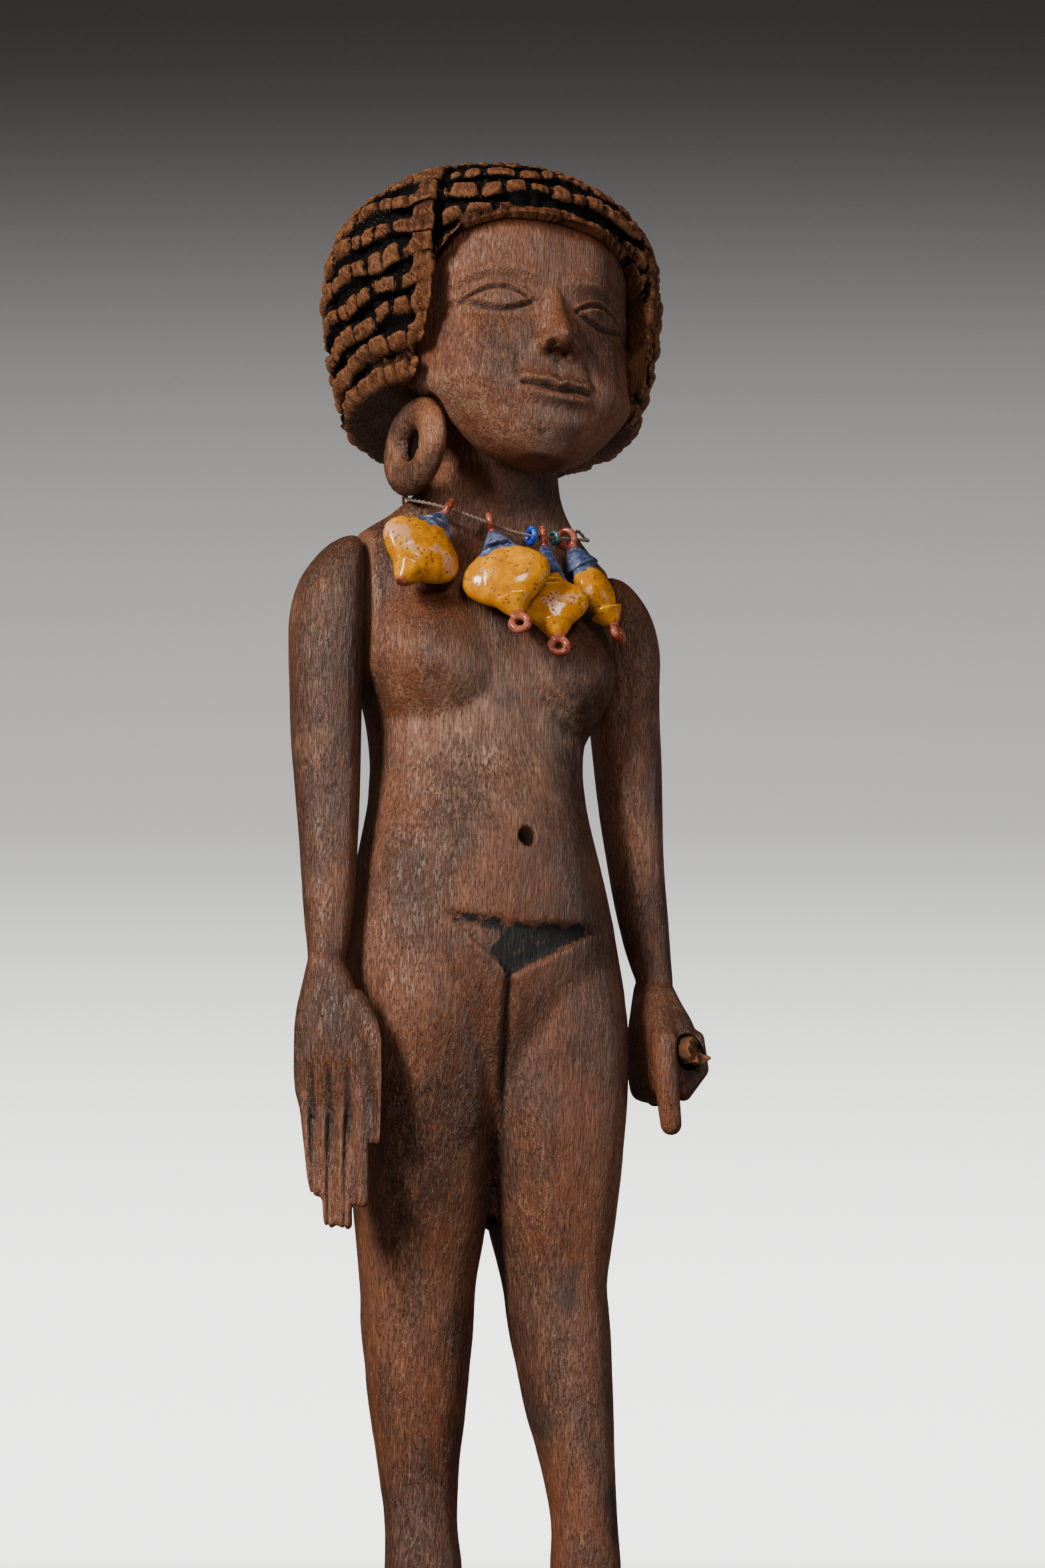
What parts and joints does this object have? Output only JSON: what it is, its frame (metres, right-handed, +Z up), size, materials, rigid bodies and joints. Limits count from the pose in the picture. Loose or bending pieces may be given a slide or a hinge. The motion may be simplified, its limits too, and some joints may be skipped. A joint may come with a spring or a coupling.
{
  "type": "wooden figurine",
  "caption": "Standing carved wooden female figurine in a tiered wig, with separate arms, one ear ring, a glass pendant necklace and a low base.",
  "frame": {"origin": "centre of the plinth's underside", "axes": "+Z up; the figure faces -Y and its own right side is at -X"},
  "size_m": [0.0712, 0.0846, 0.2682],
  "materials": {
    "carved_wood": "aged carved wood with a worn, dusty surface",
    "broken_wood": "broken raw wood",
    "plinth_wood": "plain aged wood",
    "fibre": "twisted plant fibre",
    "yellow_glass": "opaque yellow glass, weathered",
    "cobalt_glass": "opaque cobalt glass",
    "teal_glass": "opaque teal glass"
  },
  "bodies": {
    "root": {"figure": "carved_wood", "arm_right": "carved_wood", "arm_left": "carved_wood", "held_stub": "broken_wood", "ear_ring": "carved_wood", "necklace_thread": "fibre", "pendant_1": "yellow_glass", "pendant_2": "yellow_glass", "pendant_3": "yellow_glass", "pendant_4": "yellow_glass", "bead_blue": "cobalt_glass", "bead_teal": "teal_glass", "plinth": "plinth_wood"}
  },
  "joints": []
}
